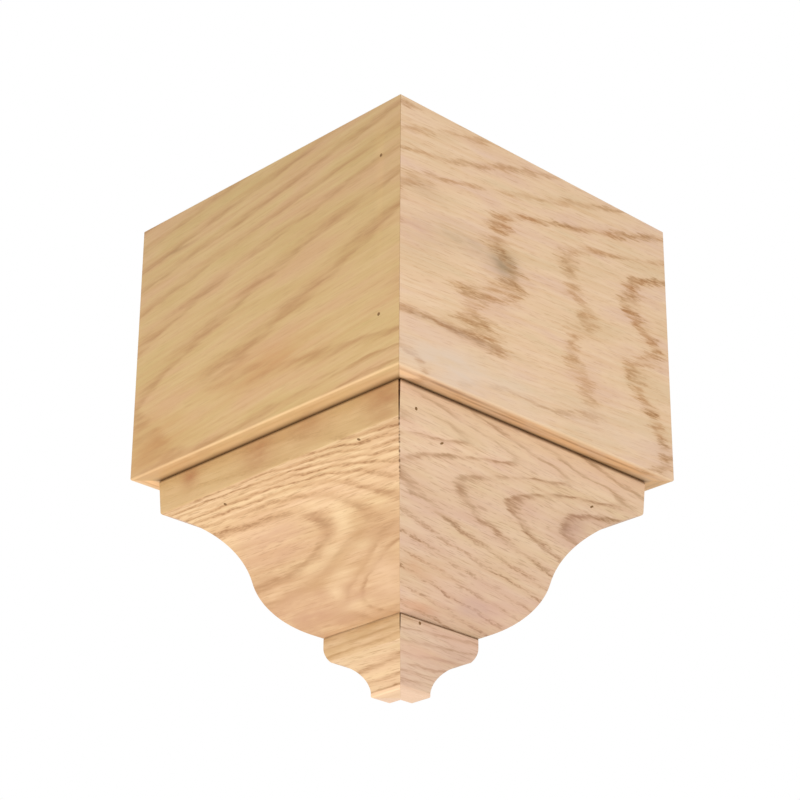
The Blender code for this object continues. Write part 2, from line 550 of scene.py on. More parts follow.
def make_bell_group():
    """1 at a place of the face, and fading to 0 round it."""
    group, takes, gives = new_group("bell", BELL_TAKES, (), {"Value": FLOAT})
    squares = []
    for place, centre, size in (("Along", "Centre Along", "Length"),
                                ("Down", "Centre Down", "Height")):
        away = reckon(group, "DIVIDE",
                      reckon(group, "SUBTRACT", takes[place], takes[centre]), takes[size])
        squares.append(scaled(group, away, away))
    bell = reckon(group, "EXPONENT",
                  scaled(group, reckon(group, "ADD", *squares), -1.0))
    group.links.new(bell, gives["Value"])
    return group


BELL = make_bell_group()


def bell(tree, *values):
    """A bell in a material: along, down, the centre's along and down, length, height."""
    return add_node(tree, "Group", zip(BELL_TAKES, values),
                    node_tree=BELL).outputs["Value"]


print("group:", BELL.name)

# %% [markdown]
# ## Streaks along the grain
#
# Nothing in straight wood is round: pores, rays and clouds of colour are all drawn out along
# the run. So every noise in the oak is stretched, by a length and a height in millimetres.
# The piece's number picks another part of the noise, so that no two strips are alike.

# %% Streaks along the grain
STREAKS_TAKE = ("Along", "Down", "Piece", "Length", "Height", "Detail")


def make_streak_group():
    """Noise drawn out along the run, as everything in straight wood is."""
    group, takes, gives = new_group("streaks", STREAKS_TAKE, (), {"Value": FLOAT})
    place = add_node(group, "CombineXYZ", {
        "X": reckon(group, "DIVIDE", takes["Along"], takes["Length"]),
        "Y": reckon(group, "DIVIDE", takes["Down"], takes["Height"]),
        "Z": takes["Piece"]})
    noise = add_node(group, "TexNoise", {
        "Vector": place.outputs[0], "Scale": 1.0, "Detail": takes["Detail"],
        "Roughness": 0.55})
    group.links.new(noise.outputs[0], gives["Value"])
    return group


STREAKS = make_streak_group()


def streaks(tree, along, down, piece, length, height, detail=1.0):
    """Streaks in a material or in another group."""
    values = (along, down, piece, length, height, detail)
    return add_node(tree, "Group", zip(STREAKS_TAKE, values),
                    node_tree=STREAKS).outputs["Value"]


print("group:", STREAKS.name)

# %% [markdown]
# ## How raw red oak is put together
#
# Cut along the log, red oak shows its growth rings as bands. Each ring starts with large open
# pores, which look like short brown dashes, and goes over into dense smooth wood. So the shader
# numbers the rings first, and lets the fraction of a ring say how many pores there are and how
# dark the wood is.

# %% The pore zone and its line
OLIVE_PORES = srgb(146, 118, 76)


def pore_zone(group, takes, grain):
    """How deep in the pore zone a place is, and how strong the zone is there that year."""
    ring = reckon(group, "ADD", takes["Ring"], takes["Rise"])
    part = reckon(group, "FRACT", ring)
    year = add_node(group, "TexWhiteNoise", {
        "W": reckon(group, "ADD", reckon(group, "FLOOR", ring), takes["Piece"])},
        noise_dimensions="1D").outputs["Value"]
    full = reckon(group, "MAXIMUM", takes["Rise"],
                  scaled(group, takes["Zone"], 0.3))
    zone = scaled(group, between(group, part, 0.0, takes["Rise"], soft=True),
                  between(group, part, takes["Zone"], full))
    strength = scaled(group, between(group, year, 0.0, 1.0, 0.55, 1.1),
                      between(group, grain(7.1, 24.0, 3.0, 2.0), 0.36, 0.62, 0.15, 1.25))
    return zone, strength


def pore_line(group, takes, grain, zone, strength, dashes):
    """The brown line of a ring: a soft part, and a ragged part made of dashes."""
    packed = between(group, reckon(group, "MULTIPLY_ADD", zone, 0.3, dashes), 0.60, 0.74)
    packed = scaled(group, packed, between(group, zone, 0.0, 0.3))
    broken = between(group, takes["Ragged"], 0.5, 0.9, 1.0, 0.15)
    packed = scaled(group, packed,
                    between(group, grain(5.1, 1.9, 0.8), 0.36, 0.56, broken, 1.1))
    soft = scaled(group, zone, reckon(group, "SUBTRACT", 1.0, takes["Ragged"]))
    line = reckon(group, "MULTIPLY_ADD", packed, takes["Ragged"], soft)
    return scaled(group, scaled(group, line, strength),
                  takes["Line"], clamp=True)


print("olive pores:", [round(value, 2) for value in OLIVE_PORES])

# %% [markdown]
# ## Bands, clouds and loose marks
#
# Away from the pores, the dense wood of each year makes a broad soft band, with finer figure
# in it. Short rays and single pores lie everywhere, and the bare wood drifts between warm and
# cool in long clouds.

# %% The dense wood
BAND_LAG = 0.09


def soft_band(group, takes, grain):
    """The broad tan band that comes round once a ring."""
    wave = reckon(group, "COSINE", scaled(group, reckon(
        group, "SUBTRACT", takes["Ring"], BAND_LAG), math.tau))
    band = scaled(group, between(group, wave, -1.0, 1.0),
                  between(group, grain(9.7, 60.0, 7.0), 0.3, 0.7, 0.45, 1.0))
    return scaled(group, band, takes["Band"], clamp=True)


def loose_marks(group, takes, grain):
    """Single pores and short rays, wherever they fall."""
    loose = between(group, grain(13.7, 4.5, 0.38), 0.60, 0.74)
    rays = between(group, grain(17.9, 9.0, 0.55, 0.0), 0.64, 0.78)
    return scaled(group, reckon(group, "MAXIMUM", loose, rays),
                  takes["Pores"], clamp=True)


def bare_wood(group, takes, grain):
    """The pale wood, with warm and cool clouds."""
    cloud = grain(31.0, 42.0, 9.0, 2.0)
    warm = scaled(group, between(group, cloud, 0.5, 0.66), takes["Clouds"])
    cool = scaled(group, between(group, cloud, 0.5, 0.34), takes["Clouds"])
    wood = blended(group, warm, takes["Pale"], takes["Warm"])
    return blended(group, cool, wood, takes["Cool"])


print("the band follows the pores by", BAND_LAG, "of a ring")

# %% [markdown]
# ## The oak group
#
# All of this goes into one group, and each face feeds it a ring number and its own amounts.
# It gives a colour, a mask of open pores for the roughness, and a height for the bump. The
# layers go on in the order of nature: bare wood, bands, the halo round the pores, the pores.

# %% The oak group
NUMBERS = ("Slope", "Zone", "Rise", "Line", "Ragged", "Band", "Figure", "Pores",
           "Clouds")
COLOURS = ("Pale", "Tan", "Brown", "Warm", "Cool")


def make_oak_group():
    """Red oak from a ring number: colours, where the pores are, and the height for a bump."""
    group, takes, gives = new_group(
        "red_oak", ("Ring", "Along", "Down", "Piece", *NUMBERS), COLOURS,
        {"Color": COLOUR, "Pores": FLOAT, "Height": FLOAT})
    down = reckon(group, "MULTIPLY_ADD", takes["Along"], takes["Slope"], takes["Down"])

    def grain(offset, length, height, detail=1.0):
        """Streaks of a length and height in mm. The offset picks a part of the noise."""
        return streaks(group, takes["Along"], down,
                       reckon(group, "ADD", takes["Piece"], offset), length, height, detail)

    zone, strength = pore_zone(group, takes, grain)
    dashes = grain(3.3, 4.0, 0.5)
    line = pore_line(group, takes, grain, zone, strength, dashes)
    halo = scaled(group, scaled(group, zone, strength), 0.55)
    figure = scaled(group, between(group, grain(23.0, 50.0, 1.5, 3.0), 0.38, 0.68),
                    takes["Figure"])
    marks = loose_marks(group, takes, grain)
    olive = between(group, grain(37.0, 22.0, 8.0), 0.42, 0.62, 0.0, 0.35)

    wood = bare_wood(group, takes, grain)
    for share in (soft_band(group, takes, grain), figure, halo):
        wood = blended(group, share, wood, takes["Tan"])
    wood = blended(group, line, wood, blended(group, olive, takes["Brown"], OLIVE_PORES))
    wood = blended(group, marks, wood, takes["Brown"])
    open_pores = reckon(group, "MAXIMUM", marks, scaled(group, line, dashes))
    fibre = scaled(group, grain(41.0, 6.0, 0.25, 2.0), 0.5)
    group.links.new(wood, gives["Color"])
    group.links.new(open_pores, gives["Pores"])
    group.links.new(reckon(group, "SUBTRACT", fibre, open_pores), gives["Height"])
    return group


RED_OAK = make_oak_group()
print("group:", RED_OAK.name, "with", len(RED_OAK.nodes), "nodes")

# %% [markdown]
# ## Laying the rings out on a face
#
# A saw cut through a trunk meets the rings as a map meets hills: every ring is a contour line. So
# each face gets its own map of ring numbers. One number says how fast the rings go by along the
# run, a curve does so on the way down, and swells push them up or down round a place. A shelf
# keeps them above a level. Where the map is nearly level the rings run out in long tongues and
# ovals, and where it is steep they crowd into fine lines.

# %% The ring map of one face
CURVE_FROM, CURVE_SPAN = -20.0, 300.0
RINGS_FROM, RINGS_SPAN = -30.0, 60.0
WOBBLES = ((12.0, 4.0, 67.0, 1.0), (5.0, 1.5, 69.0, 0.4))
SHELF_ROUNDING = 0.4


def curve_of(tree, value, points):
    """A smooth curve through pairs of place in mm and ring number."""
    share = reckon(tree, "DIVIDE", reckon(tree, "SUBTRACT", value, CURVE_FROM), CURVE_SPAN)
    curve = add_node(tree, "FloatCurve", {"Value": share})
    line = curve.mapping.curves[0]
    for number, (place, rings) in enumerate(points):
        spot = ((place - CURVE_FROM) / CURVE_SPAN, (rings - RINGS_FROM) / RINGS_SPAN)
        if number < 2:
            line.points[number].location = spot
        else:
            line.points.new(*spot)
    curve.mapping.extend = "EXTRAPOLATED"
    curve.mapping.update()
    return reckon(tree, "MULTIPLY_ADD", curve.outputs[0], RINGS_SPAN, RINGS_FROM)


def strayed(tree, value, along, down, seed, length, height, amount):
    """A value pushed up and down by streaks, by an amount."""
    drift = streaks(tree, along, down, seed, length, height)
    return reckon(tree, "MULTIPLY_ADD", reckon(tree, "SUBTRACT", drift, 0.5), amount, value)


def ring_map(tree, along, down, recipe, piece):
    """The ring number at every place of a face, from its recipe."""
    for length, height, offset, share in WOBBLES:
        down = strayed(tree, down, along, down, piece + offset, length, height,
                       recipe["wobble"] * share)
    total = curve_of(tree, reckon(tree, "MULTIPLY_ADD", along, recipe["lean"], down),
                     recipe["down_curve"])
    total = reckon(tree, "MULTIPLY_ADD", along, recipe["along"], total)
    for *place, lift in recipe["swells"]:
        total = reckon(tree, "MULTIPLY_ADD", bell(tree, along, down, *place), lift, total)
    for level, *place, lift in recipe.get("shelf", ()):
        shelf = reckon(tree, "MULTIPLY_ADD", bell(tree, along, down, *place), lift, level)
        total = reckon(tree, "SMOOTH_MAX", total, shelf, SHELF_ROUNDING)
    for amount, length, height, offset in (
            (recipe["slow"], 34.0, 15.0, 51.0), (recipe["jagged"], 18.0, 4.5, 57.0),
            (recipe["jagged"] * 0.55, 9.0, 1.1, 63.0)):
        total = strayed(tree, total, along, down, piece + offset, length, height, amount)
    return total


print("a ring curve spans", CURVE_SPAN, "mm of depth and", RINGS_SPAN, "rings")

# %% [markdown]
# ## What lies on top of the grain
#
# The fillet, the swell and the underside take the light another way, so belts lie across them:
# painted light and shade, a painted highlight along the board's rounded lower edge, and on the
# fillets some of the wood's own tone. Stains sit round a place. Painted shade darkens the joints,
# and small spots of painted shade mark where the near mitre opens. Each is a share of a colour
# over the wood, a little patchy so that it doesn't look painted on.

# %% Belts and stains
STAIN_FLOOR = 0.35


def with_light_and_tone_belts(tree, down, patchy, colour, light_and_tone_belts):
    """Belts across a face, each from one depth to another, sharp or blurred. Most are painted
    light and shade for faces that take the light another way, and some hold the wood's own tone.
    """
    for start, end, blur, tone, patch, amount in light_and_tone_belts:
        share = scaled(tree, between(tree, down, start - blur, start + blur),
                       between(tree, down, end + blur, end - blur))
        share = scaled(tree, share,
                       between(tree, patchy, 0.0, 1.0, amount * (1.0 - patch), amount))
        colour = blended(tree, share, colour, srgb(*tone))
    return colour


def with_stains(tree, along, down, patchy, colour, stains):
    """Stains round places of a face."""
    for *spot, tone, amount in stains:
        share = scaled(tree, bell(tree, along, down, *spot),
                       between(tree, patchy, 0.0, 1.0, amount * STAIN_FLOOR, amount))
        colour = blended(tree, share, colour, srgb(*tone))
    return colour


print("a stain keeps at least", STAIN_FLOOR, "of its amount")

# %% Painted shade in the joints and nicks
# The brown of painted shade, laid along the joints and in spots along the near mitre.
JOINT_SHADE_BROWN = srgb(112, 76, 40)
NICK_SPACING = 1.1
NICK_DEPTH = 0.55


def with_joint_shade(tree, down, colour, joints):
    """Painted shade on both sides of a joint, standing for the shade in its gap and under the
    overhang.
    """
    for start, reach, amount in joints:
        away = reckon(tree, "ABSOLUTE", reckon(tree, "SUBTRACT", down, start))
        near = between(tree, away, reach, reach * 0.3, soft=True)
        colour = blended(tree, scaled(tree, near, amount), colour, JOINT_SHADE_BROWN)
    return colour


def nick_shade(tree, down, sign, start, end, amount):
    """How far small spots of painted shade, where the near mitre opens a little, cover the wood
    between two depths.
    """
    spot = add_node(tree, "TexCoord").outputs["Object"]
    place = add_node(tree, "SeparateXYZ", {0: spot})
    away = reckon(tree, "DIVIDE", reckon(
        tree, "MULTIPLY_ADD", place.outputs[1], -sign, place.outputs[0]), MM)
    bites = add_node(tree, "TexNoise", {
        "W": reckon(tree, "DIVIDE", down, NICK_SPACING), "Scale": 1.0, "Detail": 0.0},
        noise_dimensions="1D").outputs[0]
    share = scaled(tree, between(tree, away, NICK_DEPTH, 0.25),
                   between(tree, bites, 0.48, 0.62))
    share = scaled(tree, share, between(tree, down, start - 0.5, start + 0.5))
    return scaled(tree, share, between(tree, down, end, end - 8.0, 0.0, amount))


print("nicks reach", NICK_DEPTH, "mm in from the mitre")

# %% [markdown]
# ## A face finished in oak
#
# The material of a strip reads the flat map in millimetres, numbers the rings, runs the oak group
# and lays belts, stains and joints over it. Raw oak is dull, and its open pores are duller still.
# The bump is a fifth of a millimetre deep, as the pores are.

# %% A face finished in oak
PATCH_SEED = 71.0
WOOD_ROUGHNESS, PORE_ROUGHNESS = 0.55, 0.75
GRAIN_DEPTH = 0.2 * MM


def oak_face(name, piece, recipe):
    """The material of one strip, from its recipe."""
    material, tree, shader = new_material(name)
    place = add_node(tree, "SeparateXYZ", {
        0: add_node(tree, "UVMap", uv_map="face").outputs[0]})
    along = reckon(tree, "DIVIDE", place.outputs[0], MM)
    down = reckon(tree, "DIVIDE", place.outputs[1], MM)
    feeds = {"Ring": ring_map(tree, along, down, recipe, piece), "Along": along,
             "Down": down, "Piece": piece}
    feeds.update((label, recipe[label]) for label in NUMBERS)
    feeds.update((label, srgb(*recipe[label])) for label in COLOURS)
    if isinstance(recipe["Ragged"], tuple):
        feeds["Ragged"] = between(tree, down, *recipe["Ragged"])
    oak = add_node(tree, "Group", feeds, node_tree=RED_OAK)
    patchy = between(tree, streaks(tree, along, down, piece + PATCH_SEED, 18.0, 5.0, 3.0),
                     0.36, 0.64)
    # Belts of painted light and shade, with some of the wood's own tone on the fillets.
    colour = with_light_and_tone_belts(tree, down, patchy, oak.outputs["Color"], recipe["light_and_tone_belts"])
    colour = with_stains(tree, along, down, patchy, colour, recipe["stains"])
    # Painted shade: brown along the joints and in small spots along the near mitre.
    colour = with_joint_shade(tree, down, colour, recipe["joints"])
    for place in recipe["nick_shades"]:
        colour = blended(tree, nick_shade(tree, down, *place), colour, JOINT_SHADE_BROWN)
    tree.links.new(colour, shader.inputs["Base Color"])
    tree.links.new(between(tree, oak.outputs["Pores"], 0.0, 1.0, WOOD_ROUGHNESS,
                           PORE_ROUGHNESS), shader.inputs["Roughness"])
    bump = add_node(tree, "Bump", {
        "Strength": 0.25, "Distance": GRAIN_DEPTH, "Height": oak.outputs["Height"]})
    tree.links.new(bump.outputs[0], shader.inputs["Normal"])
    shader.inputs["Specular IOR Level"].default_value = 0.3
    return material


print("an oak face takes", len(NUMBERS), "numbers and", len(COLOURS), "colours")

# %% [markdown]
# ## The recipes, and the two boards
#
# A recipe gives places in millimetres, along from the middle of a strip and down from its
# top. The small letters shape the ring map, and the capitals are the oak group's own inputs.
# Ragged may change with depth: from and to a depth, and its value at each. A stain is a place, a
# length, a height, a tone and an amount. A belt is two depths, a blur, a tone, how patchy it is
# and an amount, and mostly paints light and shade. A joint shade is a depth, a reach and an
# amount, and paints the shade along a joint.
#
# The left board is a calm warm piece with long tongues in its lower half. The right one is
# paler, and its rings step down the face in ragged pore lines.

# %% The two boards
UNDERSIDE = BOARD_HEIGHT / MM
LEFT_BOARD = dict(
    along=-0.015, lean=0.03, slow=0.25, jagged=0.12, wobble=1.6,
    down_curve=[
        (-14, 7.3), (0, 5.8), (14, 4.25), (28, 2.65), (42, 1.45), (56, 0.75), (70, 0.4), (90, 0.2),
        (108, 0.12), (128, 0.8), (200, 6)],
    swells=[(80, 114.5, 78, 17.5, 3.9), (-30, 77, 54, 14, -0.6)],
    Slope=0.10, Zone=0.45, Rise=0.14, Line=0.34, Ragged=0.35, Band=0.22,
    Figure=0.40, Pores=0.14, Clouds=0.8,
    Pale=(213, 181, 129), Tan=(199, 154, 104), Brown=(158, 110, 70),
    Warm=(213, 173, 131), Cool=(206, 176, 119),
    stains=[
        (-60, 98, 24, 14, (196, 144, 90), 0.5), (5, 84, 26, 8, (202, 148, 100), 0.6),
        (-49.7, 16.7, 8, 0.8, (150, 104, 60), 0.8)],
    # The belts: the underside's own tone with painted light from below, a darker band a little way
    # in, and a painted highlight along the rounded lower edge. The joint shade is painted shade
    # where the underside runs into the crown.
    light_and_tone_belts=[
        (UNDERSIDE + 0.3, 130, 0.3, (220, 182, 134), 0.7, 0.9),
        (UNDERSIDE + 2.2, UNDERSIDE + 3, 0.5, (190, 144, 88), 1, 0.45),
        (UNDERSIDE - 0.7, UNDERSIDE + 0.5, 0.3, (238, 200, 150), 0.3, 0.8)],
    joints=[(UNDERSIDE + 8.2, 4, 0.45), (UNDERSIDE + 8.2, 1.9, 0.7)], nick_shades=[])
RIGHT_BOARD = dict(
    along=0.027, lean=0, slow=0.15, jagged=0.45, wobble=1.6,
    down_curve=[
        (-14, -3.75), (0, -2.35), (8, -1.6), (14, -1.05), (20, -0.45), (24, 0.06), (28, 0.42),
        (33, 0.58), (38, 0.56), (45, 0.52), (57, 0.27), (67, 0.54), (75, 0.54), (87, 0.27),
        (107, 0.25), (113, 0.6), (140, 4.5), (220, 14)],
    swells=[
        (-35, 68, 20, 18, 0.35), (-73, 60, 25, 25, 0.9), (-85, 93, 50, 11, 2.2),
        (-25, 108, 42, 10, 2)],
    Slope=0.06, Zone=0.42, Rise=0.24, Line=0.70, Ragged=0.66, Band=0.14,
    Figure=0.36, Pores=0.24, Clouds=0.6,
    Pale=(235, 203, 168), Tan=(216, 171, 120), Brown=(176, 121, 70),
    Warm=(226, 190, 168), Cool=(222, 194, 154),
    stains=[
        (-66, 53, 12, 8, (206, 162, 148), 0.5), (-42, 48, 18, 6, (186, 158, 126), 0.5),
        (-20, 49, 7, 5, (134, 114, 78), 0.8), (-64, 34.5, 9, 3, (160, 122, 86), 0.6),
        (-44, UNDERSIDE + 2, 26, 0.8, (152, 96, 50), 1),
        (-20, UNDERSIDE + 4.2, 22, 0.6, (160, 104, 56), 0.9),
        (26, UNDERSIDE + 3, 24, 0.5, (170, 112, 62), 0.8),
        (-45, 85.5, 26, 1.4, (156, 118, 86), 0.6), (-45, 100, 36, 9, (226, 202, 180), 0.95),
        (40, 98, 40, 9, (226, 202, 180), 0.4)],
    # As on the left: the underside's orange tone with painted light from below, a darker band, a
    # painted highlight along the rounded lower edge, and painted shade where the underside meets
    # the crown.
    light_and_tone_belts=[
        (UNDERSIDE + 0.4, 130, 0.3, (248, 200, 146), 0.85, 0.95),
        (UNDERSIDE + 2.2, UNDERSIDE + 3, 0.4, (182, 124, 70), 1, 0.5),
        (UNDERSIDE - 0.4, UNDERSIDE + 0.7, 0.3, (244, 210, 170), 0.3, 0.9)],
    joints=[(UNDERSIDE + 8.4, 3.6, 0.3), (UNDERSIDE + 8.4, 1.8, 0.75)], nick_shades=[])
print("stains on the boards:", len(LEFT_BOARD["stains"]), "and", len(RIGHT_BOARD["stains"]))

# %% [markdown]
# ## The crown moulding's figure
#
# The left length has crowded lines in its hollow and an oval on its swell, with bands of cream and
# olive tan round it. The right one has a row of arches. In both the fillet was planed off at
# another angle, so it shows other wood: plain and olive on the left, pale on the right. On the
# left the fillet's belt also holds painted shade, and a belt of painted shade tones down the
# swell.

# %% The two lengths of crown moulding
FILLET_FOOT = FILLET_HEIGHT / MM
FILLET_BROWN = (178, 126, 86)
CREAM = (241, 212, 168)
OLIVE_TAN = (196, 156, 108)
LEFT_CROWN = dict(
    along=0.0015, lean=-0.012, slow=0.15, jagged=0.26, wobble=2.6,
    down_curve=[
        (-12, 10), (0, 8.4), (13.3, 6.5), (15.4, 5.75), (17.3, 5), (19.6, 4), (21.9, 3), (24.2, 2),
        (27, 1.05), (32, 0.05), (44, -0.65), (55.5, 0), (64, 1.2), (68.5, 1.5), (82, 1.75),
        (110, 5), (200, 14)],
    swells=[
        (21.5, 59.5, 21, 11, 2.7), (35, 69.5, 24, 13.5, -6.4), (62, 32, 43, 23.5, 3.8)],
    shelf=[(-0.5, 36, 69, 26, 14, 0.3)],
    Slope=-0.02, Zone=0.55, Rise=0.25, Line=0.56,
    Ragged=(30, 40, 0.85, 0.45), Band=0.66, Figure=0.66, Pores=0.42,
    Clouds=0.6,
    Pale=(234, 201, 158), Tan=(203, 160, 116), Brown=(156, 110, 70),
    Warm=(222, 182, 146), Cool=(226, 196, 148),
    stains=[
        (-24, 41, 20, 7, (202, 158, 130), 0.7), (-12, 72, 34, 9, (196, 150, 118), 0.8),
        (18.7, 47.6, 5, 6, OLIVE_TAN, 0.5), (7.5, 55.5, 6, 3.5, OLIVE_TAN, 0.5),
        (-5, 61.5, 9, 2.6, OLIVE_TAN, 0.5), (17, 61.5, 6, 3.5, OLIVE_TAN, 0.4),
        (13.4, 42.7, 4.5, 7, CREAM, 0.6), (4.5, 51.2, 6, 3.5, CREAM, 0.6),
        (-8, 55, 8, 2.6, CREAM, 0.55), (0, 33.7, 14, 2.2, CREAM, 0.5),
        (26, 68, 7, 7, (240, 206, 170), 0.55), (19.5, 54, 6, 2.2, CREAM, 0.45),
        (7, 61.3, 5, 2.4, CREAM, 0.5), (0.5, 67, 4, 3.6, CREAM, 0.6), (7, 74, 8, 2.2, CREAM, 0.6),
        (-47, 3.5, 5, 5, FILLET_BROWN, 0.85), (-8.5, 5, 9, 8, FILLET_BROWN, 0.95),
        (17, 4, 11, 6, FILLET_BROWN, 0.6), (57, 4, 10, 10, FILLET_BROWN, 0.85)],
    # The first belt is painted shade over the swell, which the low lamp lights too strongly. The
    # fillet belt is partly the fillet's own olive wood and partly painted shade, as the upright
    # fillet gets less light than the hollow below it.
    light_and_tone_belts=[
        (44, 130, 14, (196, 154, 114), 0.6, 0.78),
        (-3, FILLET_FOOT, 0.3, (204, 170, 117), 0.3, 0.85)],
    # The joint shade is the painted shadow under the box, and the nick shades are painted shade
    # along the near mitre.
    joints=[(0, 1.5, 0.7)], nick_shades=[(1, 14, 40, 0.8)])
RIGHT_CROWN = dict(
    along=0.03, lean=0, slow=0.12, jagged=0.24, wobble=2.4,
    down_curve=[
        (-12, 4), (0, 2), (6, 1.05), (13, -0.15), (20, 0.7), (30, 1.45), (38, 1.1), (46, 0.25),
        (54, -0.95), (64, -2.8), (82, -6), (110, -11), (200, -22)],
    swells=[(40, 20, 54, 19, 0.65)],
    Slope=-0.06, Zone=0.38, Rise=0.16, Line=0.78,
    Ragged=(30, 55, 0.45, 1), Band=0.26, Figure=0.38, Pores=0.33,
    Clouds=0.65,
    Pale=(232, 201, 170), Tan=(213, 172, 136), Brown=(160, 115, 78),
    Warm=(222, 184, 162), Cool=(226, 197, 156),
    stains=[
        (15, 72, 40, 12, (216, 172, 152), 0.6), (40, 29, 8, 6, (196, 156, 138), 0.6),
        (-22.7, 63.3, 12, 3.5, (214, 160, 120), 0.6), (-16, 78, 10, 2.5, (212, 156, 116), 0.6),
        (7.3, 71.7, 9, 4, (204, 170, 156), 0.6)],
    light_and_tone_belts=[(-3, FILLET_FOOT, 0.3, (238, 208, 170), 0.4, 0.35)],
    # The joint shade is the painted shadow under the box, and the nick shades are painted shade
    # along the near mitre.
    joints=[(0, 1.7, 0.85)], nick_shades=[(-1, 14, 40, 0.8)])
print("stains on the crown:", len(LEFT_CROWN["stains"]), "and", len(RIGHT_CROWN["stains"]))

# %% [markdown]
# ## The small moulding, and the strips behind
#
# The small moulding is like the crown above it, with its own ring map and a pale underside. The
# strips that turn back to the walls aren't seen from the front, so three plain recipes do for all
# six.

# %% The small moulding and the returns
FOOT_EDGE = 26.8
LEFT_LOWER = dict(
    LEFT_CROWN, along=0.004, lean=0, Slope=-0.06, jagged=0.15, wobble=0.8, swells=[],
    shelf=[], down_curve=[
        (-12, -3), (0, 0.65), (1.2, 1), (4.6, 2), (7.6, 3), (9.3, 3.45), (16, 3.85), (19, 4.2),
        (24, 5.4), (60, 12)],
    Line=0.75, Ragged=(0, 9, 0.1, 0.5), Figure=0.35, Band=0.45,
    # The joint shade is painted shade in the joint under the crown. The first belt is partly olive
    # wood and partly painted shade on the upright fillet, and the second is painted light on the
    # underside, which faces down towards the low lamp.
    stains=[], nick_shades=[], joints=[(0, 1.1, 0.35)],
    Pale=(229, 197, 158), Tan=(200, 158, 118),
    light_and_tone_belts=[
        (-3, 9.4, 0.3, (196, 158, 108), 0.5, 0.75),
        (FOOT_EDGE, 60, 0.3, (248, 210, 172), 0.2, 0.9)])
RIGHT_LOWER = dict(
    RIGHT_CROWN, along=0.008, lean=0.05, Slope=-0.05, swells=[], jagged=0.3, Line=0.4,
    down_curve=[(-12, -2), (0, 0), (8, 2), (16, 3.4), (24, 6), (60, 16)],
    stains=[
        (0, 13, 20, 5, (216, 172, 152), 0.6), (10, 10, 7, 3, (176, 136, 116), 0.6)],
    # The joint shade is painted shade in the joint under the crown, and the belt is painted light
    # on the underside.
    joints=[(0, 0.9, 0.9)], nick_shades=[], Pale=(231, 201, 173), Tan=(212, 173, 144),
    light_and_tone_belts=[(FOOT_EDGE, 60, 0.3, (248, 212, 182), 0.2, 0.9)])
# The plain recipes keep the belts of painted light, shade and highlight and the painted joint
# shade of the right-hand ones.
PLAIN_BOARD = dict(
    RIGHT_BOARD, along=-0.008, lean=0.04, swells=[(20, 60, 60, 22, -1.6)], stains=[],
    jagged=0.2, down_curve=[(-14, -3), (0, -1.5), (50, 3), (100, 9), (200, 18)],
    Pale=(222, 189, 148), Tan=(206, 168, 126), Line=0.5)
PLAIN_CROWN = dict(
    RIGHT_CROWN, along=0.006, lean=0.03, swells=[], stains=[], nick_shades=[], Line=0.5,
    down_curve=[(-14, 5), (0, 3), (14, 1), (40, 0), (60, 1), (84, 6), (200, 16)])
PLAIN_LOWER = dict(RIGHT_LOWER, stains=[])
RECIPES = {
    "board": {"left": LEFT_BOARD, "right": RIGHT_BOARD},
    "crown": {"left": LEFT_CROWN, "right": RIGHT_CROWN},
    "lower": {"left": LEFT_LOWER, "right": RIGHT_LOWER}}
PLAIN = {"board": PLAIN_BOARD, "crown": PLAIN_CROWN, "lower": PLAIN_LOWER}
print("recipes:", sum(len(faces) for faces in RECIPES.values()), "and plain:", len(PLAIN))

# %% [markdown]
# ## End grain
#
# Where a saw cuts straight through the stock, the rings show as arcs full of open pores, and the
# wood drinks in light and looks darker. It shows only behind, on the two cuts against the walls.
# The rings are circles about the heart of the log, a point beside the block.

# %% End grain
HEART_OUT, HEART_UP = 0.13, -0.06
RING_WIDTH = 3.1


def end_grain_material():
    """The cut ends of the stock."""
    material, tree, shader = new_material("end_grain")
    spot = add_node(tree, "TexCoord").outputs["Object"]
    place = add_node(tree, "SeparateXYZ", {0: spot})
    across = reckon(tree, "DIVIDE", reckon(tree, "SUBTRACT", place.outputs[0], HEART_OUT), MM)
    height = reckon(tree, "DIVIDE", reckon(tree, "SUBTRACT", place.outputs[2], HEART_UP), MM)
    radius = reckon(tree, "SQRT", reckon(tree, "ADD", scaled(tree, across, across),
                                         scaled(tree, height, height)))
    part = reckon(tree, "FRACT", reckon(tree, "DIVIDE", radius, RING_WIDTH))
    early = between(tree, part, 0.5, 0.0)
    pits = add_node(tree, "TexVoronoi", {"Vector": spot, "Scale": 2200.0})
    pit = scaled(tree, between(tree, pits.outputs["Distance"], 0.35, 0.15), early)
    wood = blended(tree, early, srgb(205, 165, 120), srgb(176, 132, 90))
    wood = blended(tree, pit, wood, srgb(96, 64, 40))
    tree.links.new(wood, shader.inputs["Base Color"])
    tree.links.new(between(tree, pit, 0.0, 1.0, 0.75, 0.9), shader.inputs["Roughness"])
    bump = add_node(tree, "Bump", {
        "Strength": 0.3, "Distance": 0.2 * MM, "Height": reckon(tree, "SUBTRACT", 1.0, pit)})
    tree.links.new(bump.outputs[0], shader.inputs["Normal"])
    return material


END_GRAIN = end_grain_material()
print("material:", END_GRAIN.name, "with rings", RING_WIDTH, "mm wide")

# %% [markdown]
# ## Mitres that gape
#
# The mitres are not all perfect. Beside the plain band of the crown, the near one stands open
# by less than a millimetre and closes towards the hollow, and the small moulding's is open
# beside its nose. Only the front of the joint gapes: behind it the faces meet.

# %% Where a mitre gapes
GAPING_DEPTH = 4.0 * MM
CROWN_GAPS = [(0.0, 0.46), (FILLET_FOOT, 0.16), (15.0, 0.03), (40.0, 0.0)]
LOWER_GAPS = [(0.0, 0.22), (5.5, 0.14), (7.0, 0.0)]


def tight(point):
    """A mitre that is closed all round."""
    return CLOSED


